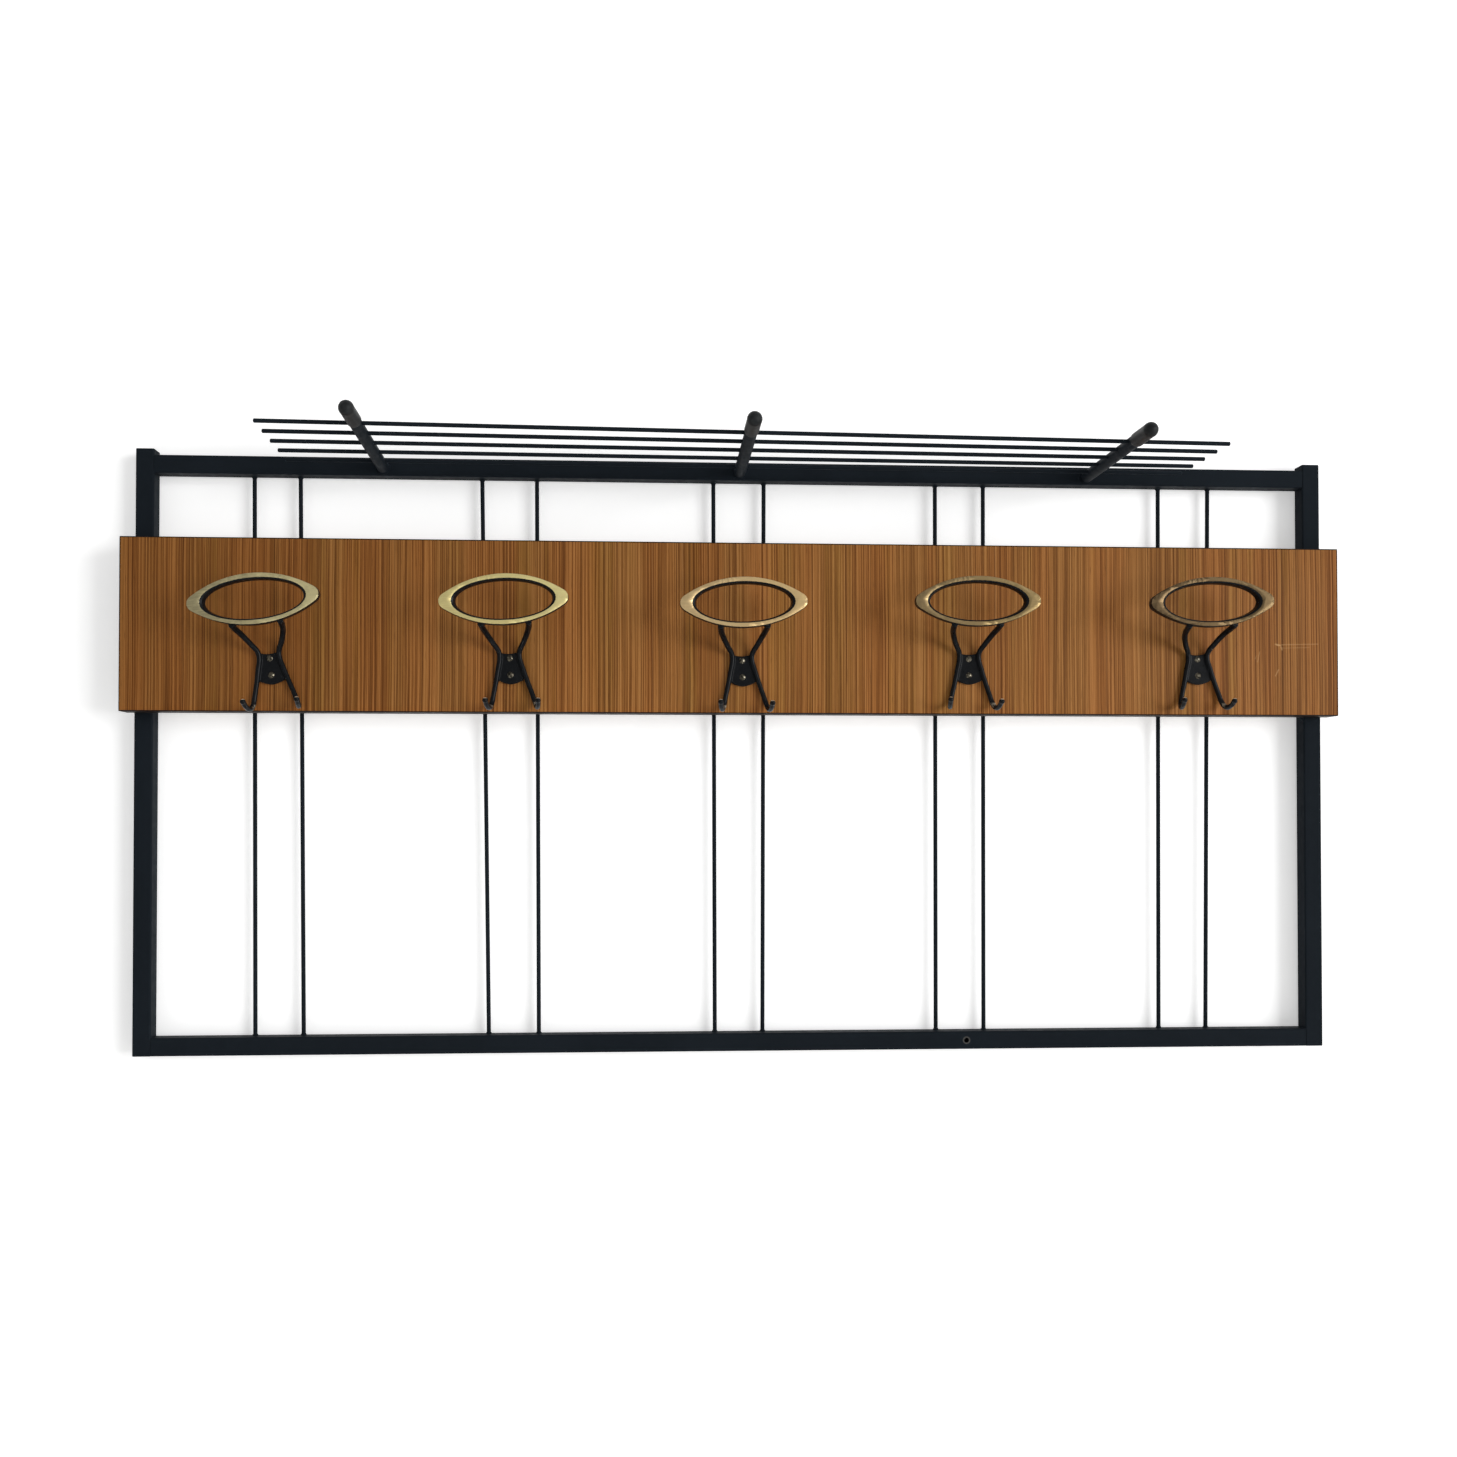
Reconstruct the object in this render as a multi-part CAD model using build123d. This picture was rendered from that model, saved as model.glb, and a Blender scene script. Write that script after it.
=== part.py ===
from build123d import *
import os
from math import cos, radians, sin, tan

# Wall hook rack: welded tube frame, laminated board, five cast hooks, hat shelf.
# Millimetres. X right, Z up, wall plane at Y = 0, front towards -Y. Heights below are taken from
# the foot; on saving, everything drops so that the origin is midway between the hanging holes.

# --- driving dimensions ---
FRAME_W = 1200.0          # over both posts
POST_H = 600.0
RAIL_TOP = 594.0          # top face of the top rail
TUBE = 18.0               # square tube
WALL = 1.5
TUBE_R = 1.6              # outer corner of the tube
CAP_T = 1.5               # welded plate closing a post

GRILLE_R = 2.1
GRILLE_Y = -3.4           # rods stand near the back of the rails
PAIR_X = [-462.5, -231.0, -3.0, 225.0, 459.5]
PAIR_GAP = 50.0
GRILLE_LEAN = [            # head and foot of each rod off its true line
    (-0.5, 3.0), (-5.0, 0.5), (-5.5, 2.5), (-0.5, 2.5), (0.5, 2.0),
    (2.0, 0.5), (1.0, 0.5), (1.0, 0.0), (0.5, -1.5), (3.0, -2.0),
]

BOARD_W = 1213.0
BOARD_H = 170.0
BOARD_Z = 338.0           # lower edge
BOARD_T = 24.0
LAMINATE = 0.8
EDGE_T = 1.0
BOARD_SCREW_Z = [378.0, 468.0]
BOARD_SCREW_R = 2.0
BOARD_SCREW_L = 22.0
TAB_T = 2.0               # small steel tab under the board's right end

HOOK_X = [-461.0, -229.5, -1.0, 226.0, 459.5]
HOOK_Z = [381.5, 383.0, 382.0, 385.0, 386.0]    # midway between the two screws
HOOK_TURN = [-5.6, -2.6, -1.4, -0.4, -1.6]      # degrees, + leans to the right
SCREW_DZ = 8.2
PLATE_T = 3.0
BAR_R = 2.6
RING_HALF_W = 66.8        # where the two outline arcs would meet
RING_HALF_H = 24.5
RING_TIP_R = 8.0
RING_Z = 60.0             # ring centre above the screws
RING_FRONT = 46.0         # ring face out from the board
RING_T = 8.0
HOLE_W = 98.6
HOLE_H = 39.6
HOLE_LESS = [3.0, 1.3]    # the hole narrows towards the back, per side

HEAD_R = 3.1
SHANK_R = 1.5
SCREW_L = 20.0

ARM_X = [-358.0, -1.5, 355.0]
ARM_TILT = [2.3, 1.0, -0.3]     # degrees above level
ARM_R = 6.0
ARM_L = 187.0             # rail face to the end of the ball
ARM_Z = 584.0             # centre of the root
CAP_R = 6.9
CAP_L = 41.0
SHELF_ROD_R = 1.95
SHELF_ROD_X = [-448.5, 445.5]
SHELF_FIRST = 23.0        # innermost rod out from the rail face
SHELF_STEP = 29.0

WALL_HOLE_X = [-500.0, 500.0]
WALL_HOLE_R = 4.5
HANG_Z = RAIL_TOP - TUBE / 2
FOOT_HOLE_X = 229.0
FOOT_HOLE_R = 2.6

FRONT = -TUBE             # front face of the frame
BOARD_BACK = FRONT
BOARD_FRONT = BOARD_BACK - BOARD_T

os.makedirs("parts", exist_ok=True)


def save(shape, name):
    shape = Pos(0, 0, -HANG_Z) * shape
    shape.label = name
    export_step(shape, f"parts/{name}.step")


def block(x0, x1, y0, y1, z0, z1):
    """Plain box between two corners."""
    box = Box(x1 - x0, y1 - y0, z1 - z0)
    return Pos((x0 + x1) / 2, (y0 + y1) / 2, (z0 + z1) / 2) * box


def drill(x, y0, y1, z, r):
    """Round cutter along Y."""
    bar = Cylinder(r, abs(y1 - y0))
    return Pos(x, (y0 + y1) / 2, z) * Rot(90, 0, 0) * bar


def ball(x, y, z, r):
    return Pos(x, y, z) * Sphere(r)


def rod(start, end, r):
    """Round rod between two points with softly rounded ends."""
    run = end - start
    body = extrude(Plane(origin=start, z_dir=run) * Circle(r), run.length)
    return chamfer(body.edges().filter_by(GeomType.CIRCLE), 0.6)


# --- frame ---

def tube(length, r_out=TUBE_R):
    """Hollow square tube along Z, from 0 to length."""
    outer = RectangleRounded(TUBE, TUBE, r_out)
    inner = RectangleRounded(TUBE - 2 * WALL, TUBE - 2 * WALL, 0.4)
    return extrude(outer - inner, length)


def post(side):
    x = side * (FRAME_W / 2 - TUBE / 2)
    body = Pos(x, -TUBE / 2, CAP_T) * tube(POST_H - 2 * CAP_T)
    for z in BOARD_SCREW_Z:
        body -= drill(x, FRONT - 1, FRONT + WALL + 1, z, BOARD_SCREW_R + 0.2)
        body -= drill(x, -WALL - 1, 1, z, 5.0)
    return body


def post_cap(side, top):
    x = side * (FRAME_W / 2 - TUBE / 2)
    plate = extrude(RectangleRounded(TUBE, TUBE, TUBE_R), CAP_T)
    outer = plate.faces().sort_by(Axis.Z)[-1 if top else 0]
    plate = chamfer(outer.edges(), 0.4)
    return Pos(x, -TUBE / 2, POST_H - CAP_T if top else 0) * plate


def rail(z_top):
    length = FRAME_W - 2 * TUBE
    body = Pos(-length / 2, -TUBE / 2, z_top - TUBE / 2) * Rot(0, 90, 0) * tube(length)
    return body


def top_rail():
    body = rail(RAIL_TOP)
    for x in WALL_HOLE_X:
        body -= drill(x, -WALL - 1, 1, RAIL_TOP - TUBE / 2, WALL_HOLE_R)
    return body


def bottom_rail():
    body = rail(TUBE)
    body -= drill(FOOT_HOLE_X, FRONT - 1, 1, TUBE / 2, FOOT_HOLE_R)
    return body


def grille_rod(i):
    x = PAIR_X[i // 2] + (PAIR_GAP / 2 if i % 2 else -PAIR_GAP / 2)
    head, foot = GRILLE_LEAN[i]
    low = Vector(x + foot, GRILLE_Y, TUBE)
    high = Vector(x + head, GRILLE_Y, RAIL_TOP - TUBE)
    run = (high - low).normalized()
    body = extrude(Plane(origin=low - run * 3, z_dir=run) * Circle(GRILLE_R), 600)
    band = block(x - 40, x + 40, GRILLE_Y - 5, 5, TUBE, RAIL_TOP - TUBE)
    return body & band


def board_tab():
    """Small flat tab welded inside the right post, its corner cut off."""
    x1 = FRAME_W / 2 - TUBE
    z0 = BOARD_Z - 5.0
    pts = [(x1, z0), (x1, z0 + 35), (x1 - 16, z0 + 35), (x1 - 16, z0 + 16)]
    face = Plane(origin=(0, FRONT + TAB_T, 0), x_dir=(1, 0, 0), z_dir=(0, -1, 0)) * make_face(
        Polyline(*pts, close=True)
    )
    return extrude(face, TAB_T)


# --- board ---

def board_core():
    w = BOARD_W / 2 - EDGE_T
    y_front = BOARD_FRONT + LAMINATE
    y_back = BOARD_BACK - LAMINATE
    core = block(-w, w, y_front, y_back, BOARD_Z + EDGE_T, BOARD_Z + BOARD_H - EDGE_T)
    for side in (-1, 1):
        x = side * (FRAME_W / 2 - TUBE / 2)
        for z in BOARD_SCREW_Z:
            core -= drill(x, y_back + 1, FRONT + WALL - BOARD_SCREW_L, z, BOARD_SCREW_R)
    for i in range(len(HOOK_X)):
        for p in hook_screw_points(i):
            core -= drill(p.X, BOARD_FRONT - 1, BOARD_FRONT + SCREW_L - PLATE_T, p.Z, SHANK_R)
    return core


def board_face():
    w = BOARD_W / 2 - EDGE_T
    sheet = block(-w, w, BOARD_FRONT, BOARD_FRONT + LAMINATE,
                  BOARD_Z + EDGE_T, BOARD_Z + BOARD_H - EDGE_T)
    for i in range(len(HOOK_X)):
        for p in hook_screw_points(i):
            sheet -= drill(p.X, BOARD_FRONT - 1, BOARD_FRONT + LAMINATE + 1, p.Z, SHANK_R)
    return sheet


def board_backing():
    w = BOARD_W / 2 - EDGE_T
    sheet = block(-w, w, BOARD_BACK - LAMINATE, BOARD_BACK,
                  BOARD_Z + EDGE_T, BOARD_Z + BOARD_H - EDGE_T)
    for side in (-1, 1):
        for z in BOARD_SCREW_Z:
            x = side * (FRAME_W / 2 - TUBE / 2)
            sheet -= drill(x, BOARD_BACK - 2, BOARD_BACK + 1, z, BOARD_SCREW_R)
    return sheet


def edge_long(top):
    w = BOARD_W / 2
    z = BOARD_Z + BOARD_H - EDGE_T if top else BOARD_Z
    return block(-w, w, BOARD_FRONT, BOARD_BACK, z, z + EDGE_T)


def edge_short(side):
    w = BOARD_W / 2
    x0, x1 = (-w, -w + EDGE_T) if side < 0 else (w - EDGE_T, w)
    return block(x0, x1, BOARD_FRONT, BOARD_BACK, BOARD_Z + EDGE_T, BOARD_Z + BOARD_H - EDGE_T)


def board_screws():
    """Wood screws from behind, through the posts and into the board."""
    solids = []
    seat = FRONT + WALL
    for side in (-1, 1):
        x = side * (FRAME_W / 2 - TUBE / 2)
        for z in BOARD_SCREW_Z:
            shank = drill(x, seat, seat - BOARD_SCREW_L + 4, z, BOARD_SCREW_R)
            tip = Pos(x, seat - BOARD_SCREW_L + 2, z) * Rot(90, 0, 0) * Cone(BOARD_SCREW_R, 0.5, 4)
            head = drill(x, seat, seat + 2.4, z, 3.8)
            head -= block(x - 5, x + 5, seat + 1.4, seat + 3, z - 0.5, z + 0.5)
            solids.append(shank + head + tip)
    return Compound(children=[solo(s) for s in solids])


# --- hooks, drawn about the point midway between the screws ---

def solo(shape):
    """The single solid inside a shape."""
    return shape.solids()[0] if not isinstance(shape, Solid) else shape


def place_hook(shape, i):
    return Pos(HOOK_X[i], BOARD_FRONT, HOOK_Z[i]) * Rot(0, HOOK_TURN[i], 0) * shape


def hook_screw_points(i):
    turn = radians(HOOK_TURN[i])
    pts = []
    for dz in (SCREW_DZ, -SCREW_DZ):
        pts.append(Vector(HOOK_X[i] + dz * sin(turn), 0, HOOK_Z[i] + dz * cos(turn)))
    return pts


def at_depth(d):
    """Drawing plane facing the viewer, d out from the board."""
    return Plane(origin=(0, -d, 0), x_dir=(1, 0, 0), z_dir=(0, -1, 0))


def side_bar(side):
    """One side of the casting, from the ring down past the plate to the prong tip."""
    upper = [
        (22.8, 46.4, 37.6), (22.0, 33.0, 34.6), (19.4, 21.0, 30.2), (14.6, 10.4, 22.2),
        (10.2, 4.7, 14.6), (9.6, 3.9, 10.0),
    ]
    lower_left = [(12.2, 3.5, -4.5), (14.1, 3.4, -14.0), (17.2, 3.5, -27.0), (19.2, 4.8, -35.8),
                  (20.9, 9.8, -39.8), (22.5, 18.0, -38.7), (23.4, 25.4, -33.9)]
    lower_right = [(12.9, 3.5, -3.5), (16.0, 3.4, -14.0), (20.4, 3.5, -27.5), (23.2, 4.8, -36.6),
                   (25.0, 9.8, -41.0), (26.5, 18.0, -40.2), (27.2, 25.2, -36.0)]
    pts = upper + (lower_left if side < 0 else lower_right)
    line = Spline(*[(side * x, -d, z) for x, d, z in pts])
    start = Plane(origin=line @ 0, z_dir=line % 0)
    bar = sweep(start * Circle(BAR_R), path=line)
    x, d, z = pts[-1]
    return bar + ball(side * x, -d, z, BAR_R + 0.12)


def ring():
    """Pointed oval with an oval hole that narrows to the back."""
    left = (-RING_HALF_W, 0)
    right = (RING_HALF_W, 0)
    over = ThreePointArc(left, (0, RING_HALF_H), right)
    under = ThreePointArc(right, (0, -RING_HALF_H), left)
    outline = make_face(Curve() + [over, under])
    outline = fillet(outline.vertices(), RING_TIP_R)
    hole = Ellipse(HOLE_W / 2, HOLE_H / 2)
    small = Ellipse(HOLE_W / 2 - HOLE_LESS[0], HOLE_H / 2 - HOLE_LESS[1])
    back = Plane(origin=(0, -(RING_FRONT - RING_T), RING_Z), x_dir=(1, 0, 0), z_dir=(0, -1, 0))
    front = Plane(origin=(0, -RING_FRONT, RING_Z), x_dir=(1, 0, 0), z_dir=(0, -1, 0))
    body = extrude(back * outline, RING_T)
    cutter = loft([back * small, front * hole])
    body -= cutter
    return body


def back_plate():
    """Shield between the two side bars."""
    pts = [(-9.4, 14.2), (-9.6, 8.0), (-13.2, -12.0)]
    side_r = [(14.6, -12.0), (9.8, 8.0), (9.4, 14.2)]
    bottom = Spline(pts[-1], (-6.6, -15.8), (0.6, -17.4), (7.8, -15.8), side_r[0])
    top = Spline(side_r[-1], (4.5, 12.9), (0, 12.5), (-4.5, 12.9), pts[0])
    outline = make_face(Curve() + [Polyline(*pts), bottom, Polyline(*side_r), top])
    plate = extrude(at_depth(0) * outline, PLATE_T)
    face = plate.faces().sort_by(Axis.Y)[0]
    return chamfer(face.edges(), 0.5)


def hook():
    body = back_plate() + side_bar(-1) + side_bar(1) + ring()
    flat = block(-90, 90, -RING_FRONT, 0, -60, 110)
    body = body & flat
    for dz in (SCREW_DZ, -SCREW_DZ):
        body -= Pos(0, 0, dz) * screw_seat()
    return solo(body)


def screw_seat():
    """Countersunk hole through the plate."""
    hole = drill(0, 1, -PLATE_T - 1, 0, SHANK_R + 0.15)
    cone = Pos(0, -PLATE_T + 0.8, 0) * Rot(90, 0, 0) * Cone(SHANK_R, HEAD_R, 1.6)
    mouth = drill(0, -PLATE_T, -PLATE_T - 4, 0, HEAD_R)
    return hole + cone + mouth


def hook_screw():
    """Raised countersunk wood screw with a single slot."""
    shank = drill(0, SCREW_L - PLATE_T - 4, -PLATE_T + 1.6, 0, SHANK_R)
    tip = Pos(0, SCREW_L - PLATE_T - 2, 0) * Rot(90, 0, 0) * Cone(0.4, SHANK_R, 4)
    cone = Pos(0, -PLATE_T + 0.8, 0) * Rot(90, 0, 0) * Cone(SHANK_R, HEAD_R, 1.6)
    sphere_r = 4.6
    sink = (sphere_r ** 2 - HEAD_R ** 2) ** 0.5
    dome = ball(0, -PLATE_T + sink, 0, sphere_r) & drill(0, -PLATE_T, -PLATE_T - 4, 0, HEAD_R)
    screw = shank + tip + cone + dome
    screw -= block(-4, 4, -PLATE_T - 3, -PLATE_T - 0.4, -0.4, 0.4)
    return solo(screw)


def hook_screws(i, screw):
    slots = [35, -20]
    solids = []
    for k, dz in enumerate((SCREW_DZ, -SCREW_DZ)):
        one = Pos(0, 0, dz) * Rot(0, slots[k] + 47 * i, 0) * screw
        solids.append(solo(place_hook(one, i)))
    return Compound(children=solids)


# --- hat shelf ---

def along_arm(i, d):
    """Point on an arm's centre line, d out from the rail's face."""
    t = radians(ARM_TILT[i])
    return Vector(ARM_X[i], FRONT - d * cos(t), ARM_Z + d * sin(t))


def shelf_ends(k):
    """Both ends of a shelf rod, carried past the outer arms in a straight line."""
    d = SHELF_FIRST + k * SHELF_STEP
    a = along_arm(0, d)
    b = along_arm(2, d)
    run = (b - a) * (1 / (b.X - a.X))
    return a + run * (SHELF_ROD_X[0] - a.X), a + run * (SHELF_ROD_X[1] - a.X)


def shelf_rod(k):
    a, b = shelf_ends(k)
    return rod(a, b, SHELF_ROD_R)


def shelf_cutter(k):
    a, b = shelf_ends(k)
    run = b - a
    return extrude(Plane(origin=a, z_dir=run) * Circle(SHELF_ROD_R), run.length)


def shelf_arm(i):
    root = along_arm(i, -2)
    tip = along_arm(i, ARM_L - CAP_R - 2)
    run = tip - root
    body = extrude(Plane(origin=root, z_dir=run) * Circle(ARM_R), run.length)
    body = body & block(-600, 600, -400, FRONT, 500, 700)
    for k in range(5):
        body -= shelf_cutter(k)
    return body


def arm_cap(i):
    """Push-on cap with a ball end."""
    mouth = along_arm(i, ARM_L - CAP_L)
    centre = along_arm(i, ARM_L - CAP_R)
    run = centre - mouth
    body = extrude(Plane(origin=mouth, z_dir=run) * Circle(CAP_R), run.length)
    rim = body.edges().filter_by(GeomType.CIRCLE).sort_by_distance(mouth)[0]
    body = chamfer(rim, 0.5)
    body += ball(centre.X, centre.Y, centre.Z, CAP_R)
    stub_end = along_arm(i, ARM_L - CAP_R - 2)
    stub_run = stub_end - along_arm(i, 0)
    body -= extrude(Plane(origin=along_arm(i, 0), z_dir=stub_run) * Circle(ARM_R), stub_run.length)
    return body


# --- write every node ---

save(post(-1), "left_post")
save(post(1), "right_post")
for side_name, s in (("left", -1), ("right", 1)):
    save(post_cap(s, True), f"{side_name}_post_top_cap")
    save(post_cap(s, False), f"{side_name}_post_foot_cap")
save(top_rail(), "top_rail")
save(bottom_rail(), "bottom_rail")
for n in range(10):
    save(grille_rod(n), f"grille_rod_{n + 1:02d}")
save(board_tab(), "board_tab")

save(board_core(), "board_core")
save(board_face(), "board_face_laminate")
save(board_backing(), "board_back_laminate")
save(edge_long(True), "board_edge_top")
save(edge_long(False), "board_edge_bottom")
save(edge_short(-1), "board_edge_left")
save(edge_short(1), "board_edge_right")
save(board_screws(), "board_screws")

casting = hook()
one_screw = hook_screw()
for n in range(len(HOOK_X)):
    save(solo(place_hook(casting, n)), f"hook_{n + 1}")
    save(hook_screws(n, one_screw), f"hook_screws_{n + 1}")

for n, arm_name in enumerate(("left", "middle", "right")):
    save(shelf_arm(n), f"shelf_arm_{arm_name}")
    save(arm_cap(n), f"shelf_arm_cap_{arm_name}")
for n in range(5):
    save(shelf_rod(n), f"shelf_rod_{n + 1}")
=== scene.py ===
import math

import bmesh
import bpy
from bpy.props import (
    FloatProperty,
    FloatVectorProperty,
    IntProperty,
    PointerProperty,
)
from mathutils import Euler, Matrix, Vector, noise


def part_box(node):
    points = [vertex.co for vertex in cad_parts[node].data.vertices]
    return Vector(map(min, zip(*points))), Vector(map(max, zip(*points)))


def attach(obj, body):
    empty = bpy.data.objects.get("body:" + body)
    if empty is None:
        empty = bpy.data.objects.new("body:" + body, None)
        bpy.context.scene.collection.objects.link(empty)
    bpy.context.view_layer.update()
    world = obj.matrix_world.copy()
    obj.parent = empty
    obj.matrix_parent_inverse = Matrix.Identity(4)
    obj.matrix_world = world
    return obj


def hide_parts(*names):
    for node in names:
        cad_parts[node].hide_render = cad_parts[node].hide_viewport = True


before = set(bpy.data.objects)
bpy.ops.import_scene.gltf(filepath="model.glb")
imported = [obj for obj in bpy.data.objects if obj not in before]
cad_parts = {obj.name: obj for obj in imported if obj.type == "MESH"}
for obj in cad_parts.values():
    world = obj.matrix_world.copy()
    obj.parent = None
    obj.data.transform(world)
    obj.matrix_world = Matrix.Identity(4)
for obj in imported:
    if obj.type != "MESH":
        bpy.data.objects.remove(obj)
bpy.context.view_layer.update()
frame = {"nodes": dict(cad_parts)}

bl_info = {
    "name": "Wall Hook Rack",
    "version": (1, 0, 0),
    "blender": (4, 5, 0),
    "location": "View3D > Sidebar > Hook Rack",
    "description": "Finishes a wall hook rack: frame, teak board, cast hooks and hat shelf",
    "category": "Object",
}

MM = 0.001
HANG_HEIGHT = 0.585                       # hanging holes above the foot of the frame

# frame, metres
RAIL_HOLE = (0.229, 0.009, 0.0026)        # across, above the foot, radius
POST_DEPTH = 0.018
ROD_BEAD = ((0.0, 0.0030), (0.0005, 0.0028), (0.0012, 0.0023), (0.0016, 0.00195))

# hooks: places across and up, lean in degrees, and brass tones
HOOK_X = (-0.4610, -0.2295, -0.0010, 0.2260, 0.4595)
HOOK_Z = (0.3815, 0.3830, 0.3820, 0.3850, 0.3860)
HOOK_TURN = (-5.6, -2.6, -1.4, -0.4, -1.6)
HOOK_TONES_AND_REFLECTIONS = (                            # fresh brass, tarnished brass, share of tarnish; brighter at hooks 1 and 2 and darker to hook 5, partly tarnish and partly painted reflection
    ((0.72, 0.63, 0.34), (0.28, 0.24, 0.145), 0.80),
    ((0.92, 0.78, 0.36), (0.60, 0.49, 0.21), 0.50),
    ((0.74, 0.53, 0.26), (0.56, 0.42, 0.23), 0.60),
    ((0.32, 0.23, 0.105), (0.21, 0.15, 0.08), 0.70),
    ((0.16, 0.11, 0.055), (0.085, 0.056, 0.030), 0.80),
)
RING_MIDDLE = 0.0600                      # middle of the ring above the middle of the plate
RING_TIP = 0.0080                         # rounding of the ring's two ends
RING_STEPS = 260
HOLE_FACE = (0.0505, 0.0206)              # half sizes of the ring's hole at its face,
HOLE_STEP = (0.0475, 0.0187)              # a little way in
HOLE_BACK = (0.0459, 0.0179)              # and at its back
STEP_DEPTH = 0.0014
CHAMFER = (0.0003, 0.0007)                # round the outside, and more along the underside
CHAMFER_DEPTH = 0.0009
PLATE_DEPTH = 0.0030
PLATE_OUTLINE = (                         # millimetres, across and up
    (-9.4, 14.2), (-9.6, 8.0), (-13.2, -12.0), (-10.0, -14.2), (-6.6, -15.8), (-3.0, -16.9),
    (0.6, -17.4), (4.2, -16.9), (7.8, -15.8), (11.4, -14.2), (14.6, -12.0), (9.8, 8.0),
    (9.4, 14.2), (6.4, 13.2), (3.2, 12.6), (0.0, 12.4), (-3.2, 12.6), (-6.4, 13.2),
)
# side bars, ring to prong tip: millimetres across, out from the board and up, then fullness
BAR_UPPER = (
    (22.8, 43.2, 37.6, 1.14), (22.0, 33.0, 34.7, 1.14), (19.4, 21.0, 30.2, 1.10),
    (14.6, 10.4, 22.2, 1.04), (10.2, 4.7, 14.6, 1.00), (9.6, 3.9, 10.0, 0.98),
)
BAR_LOWER_LEFT = (
    (12.2, 3.5, -4.5, 0.96), (14.1, 3.4, -14.0, 0.94), (17.2, 3.5, -27.0, 0.94),
    (19.2, 4.8, -35.8, 1.00), (20.9, 9.8, -39.8, 1.04), (22.5, 18.0, -38.7, 0.96),
    (23.4, 25.4, -33.9, 0.98),
)
BAR_LOWER_RIGHT = (
    (12.9, 3.5, -3.5, 0.96), (16.0, 3.4, -14.0, 0.94), (20.4, 3.5, -27.5, 0.94),
    (23.2, 4.8, -36.6, 1.00), (25.0, 9.8, -41.0, 1.04), (26.5, 18.0, -40.2, 0.96),
    (27.2, 25.2, -36.0, 0.98),
)
TIP_SWELL = 0.25 * MM                     # prong tips are this much fuller than the bar
FACE_SNAP = 0.34 * MM                     # skin this near the ring's face is ground flat
BACK_SNAP = 0.30 * MM

# board
FACE_SOFTENING = 0.22 * MM
SCUFFS = (                                # across and up at each end, half width, strength
    (0.5460, 0.4100, 0.5860, 0.4110, 0.0008, 0.24),
    (0.5410, 0.4105, 0.5470, 0.4092, 0.0012, 0.52),
    (0.5470, 0.4066, 0.5770, 0.4074, 0.0007, 0.17),
    (0.5468, 0.4085, 0.5482, 0.4045, 0.0009, 0.36),
    (0.5445, 0.3850, 0.5410, 0.3780, 0.0010, 0.30),
    (0.5250, 0.4030, 0.5225, 0.3920, 0.0008, 0.24),
    (0.5215, 0.3990, 0.5200, 0.3950, 0.0007, 0.18),
)
BOARD_FOOT = (0.3465, 0.3385)             # band where the laminate darkens towards its foot

# hat shelf
ARM_HEIGHT = 0.584                        # root of the arms above the foot of the frame
ARM_TILT = (("left", 2.3), ("middle", 1.0), ("right", -0.3))   # degrees above level
ARM_BEAD = ((0.0, 0.0075), (0.0006, 0.0072), (0.0014, 0.0066), (0.0022, 0.00595))
BALL = 0.0069                             # radius of the caps' ball ends
BALL_STEPS = 12
CAP_SLEEVE = (                            # distance from the ball's middle, radius
    (-0.0341, 0.0060), (-0.0341, 0.0065), (-0.03395, 0.0067), (-0.0336, 0.0068),
    (-0.0326, 0.00685), (-0.0200, 0.00680), (-0.0080, 0.00672), (-0.0030, 0.00682),
)

# gloss
ENAMEL_IOR = 1.075
LAMINATE_IOR = 1.17
EDGING_IOR = 1.15
CAP_IOR = 1.28
PAINT_SPECULAR = 0.11
STAGE_SPECULAR = 0.1

# stage
WALL_REACH = 6.0                          # half width of the wall and floor
WALL_TOP = 3.2
WALL_LIFT = 0.34                          # glow that keeps the wall even
FLOOR_DROP = 0.85                         # floor below the foot of the frame
KEY_PLACE = (7.8, -6.6, 0.15)
KEY_AIM = (0.0, 0.0, -0.30)
KEY_SIZE = (4.8, 5.1)
EYE_PLACE = (-0.1058, -1.4280, -0.3488)
EYE_TURN = (90.909, 0.0, -3.184)          # degrees
EYE_LENS = 34.655
EYE_SHIFT = (0.0098, 0.0449)


def tint(name, text, default):
    """Colour setting."""
    return FloatVectorProperty(
        name=name, description=text, subtype="COLOR", size=3, min=0.0, max=1.0, default=default
    )


def length(name, text, default):
    """Size setting, in metres."""
    return FloatProperty(
        name=name, description=text, default=default, min=0.0, unit="LENGTH", precision=5
    )


class RackPaint(bpy.types.PropertyGroup):
    black: tint("Enamel", "Black enamel of the frame and shelf", (0.0096, 0.0128, 0.0166))
    # Colour of the lighter arrises: worn enamel and a painted highlight on the rounded edges.
    rubbed_and_highlight: tint(
        "Rubbed enamel", "Enamel where hands and cloths have dulled it", (0.030, 0.031, 0.033)
    )
    gloss: FloatProperty(
        name="Roughness", description="Roughness of the enamel", default=0.46, min=0.05, max=1.0,
        subtype="FACTOR",
    )
    peel: FloatProperty(
        name="Orange peel", description="Height of the ripple in the enamel", default=0.12, min=0.0,
        max=1.0, subtype="FACTOR",
    )


class RackBoard(bpy.types.PropertyGroup):
    light: tint("Light grain", "Palest streaks of the teak pattern", (0.365, 0.168, 0.050))
    middle: tint("Middle grain", "Body colour of the teak pattern", (0.246, 0.101, 0.0250))
    dark: tint("Dark grain", "Darkest streaks of the teak pattern", (0.112, 0.040, 0.0090))
    edging: tint("Edging", "Edging strip round the board", (0.010, 0.0065, 0.005))
    sheen: FloatProperty(
        name="Roughness", description="Roughness of the laminate", default=0.5, min=0.1, max=1.0,
        subtype="FACTOR",
    )
    softening: length("Edge softening", "Rounding of the board's arrises", 0.0004)


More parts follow.
